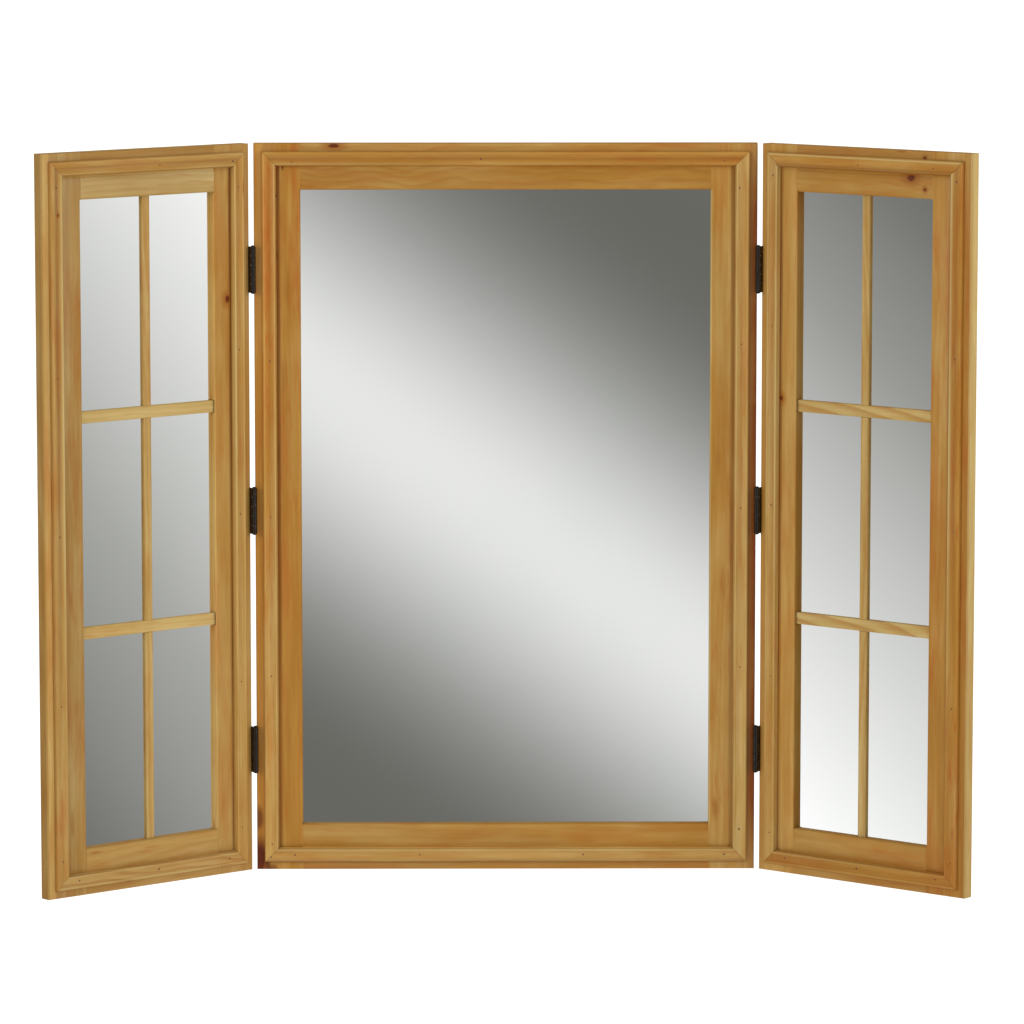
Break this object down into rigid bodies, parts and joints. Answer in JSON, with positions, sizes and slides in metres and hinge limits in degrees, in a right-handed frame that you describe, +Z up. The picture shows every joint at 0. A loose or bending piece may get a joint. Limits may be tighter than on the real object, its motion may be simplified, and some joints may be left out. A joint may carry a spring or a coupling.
{
  "type": "shutter mirror",
  "caption": "Framed wall or dressing mirror whose two hinged side shutters, each a mirror behind glazing bars, swing out flat or fold closed over the centre mirror.",
  "frame": {"origin": "middle of the centre panel's underside, half way through its thickness", "axes": "+Z up; the mirrors face -Y; +Y points out of the centre panel's back; +X to the right as seen from the front"},
  "size_m": [0.9486, 0.1782, 0.76],
  "materials": {
    "pine": "honey-stained pine under satin lacquer",
    "mirror": "silvered float glass with polished edges",
    "hardboard": "plain brown hardboard, smooth face outwards",
    "black_metal": "dark bronzed steel, slightly rubbed at the edges",
    "zinc_steel": "bright zinc-plated sheet steel"
  },
  "bodies": {
    "centre_panel": {"centre_left_stile": "pine", "centre_right_stile": "pine", "centre_top_rail": "pine", "centre_bottom_rail": "pine", "centre_left_moulding": "pine", "centre_right_moulding": "pine", "centre_top_moulding": "pine", "centre_bottom_moulding": "pine", "centre_mirror": "mirror", "centre_backing": "hardboard", "centre_glazing_points": "zinc_steel", "hanger_plates": "zinc_steel", "hanger_screws": "zinc_steel", "left_top_frame_leaf": "black_metal", "left_middle_frame_leaf": "black_metal", "left_bottom_frame_leaf": "black_metal", "right_top_frame_leaf": "black_metal", "right_middle_frame_leaf": "black_metal", "right_bottom_frame_leaf": "black_metal", "left_hinge_pins": "black_metal", "right_hinge_pins": "black_metal", "frame_hinge_screws": "black_metal"},
    "left_shutter": {"left_hinge_stile": "pine", "left_outer_stile": "pine", "left_top_rail": "pine", "left_bottom_rail": "pine", "left_hinge_moulding": "pine", "left_outer_moulding": "pine", "left_top_moulding": "pine", "left_bottom_moulding": "pine", "left_upright_bar": "pine", "left_upper_bar": "pine", "left_lower_bar": "pine", "left_mirror": "mirror", "left_backing": "hardboard", "left_glazing_points": "zinc_steel", "left_top_shutter_leaf": "black_metal", "left_middle_shutter_leaf": "black_metal", "left_bottom_shutter_leaf": "black_metal", "left_shutter_hinge_screws": "black_metal"},
    "right_shutter": {"right_hinge_stile": "pine", "right_outer_stile": "pine", "right_top_rail": "pine", "right_bottom_rail": "pine", "right_hinge_moulding": "pine", "right_outer_moulding": "pine", "right_top_moulding": "pine", "right_bottom_moulding": "pine", "right_upright_bar": "pine", "right_upper_bar": "pine", "right_lower_bar": "pine", "right_mirror": "mirror", "right_backing": "hardboard", "right_glazing_points": "zinc_steel", "right_top_shutter_leaf": "black_metal", "right_middle_shutter_leaf": "black_metal", "right_bottom_shutter_leaf": "black_metal", "right_shutter_hinge_screws": "black_metal"}
  },
  "joints": [
    {"name": "left_shutter_hinge", "type": "hinge", "parent": "centre_panel", "child": "left_shutter", "pos_m": [-0.2608, -0.01225, 0], "axis": [0, 0, 1], "range_deg": [-39, 141]},
    {"name": "right_shutter_hinge", "type": "hinge", "parent": "centre_panel", "child": "right_shutter", "pos_m": [0.2608, -0.01225, 0], "axis": [0, 0, -1], "range_deg": [-39, 141]}
  ]
}
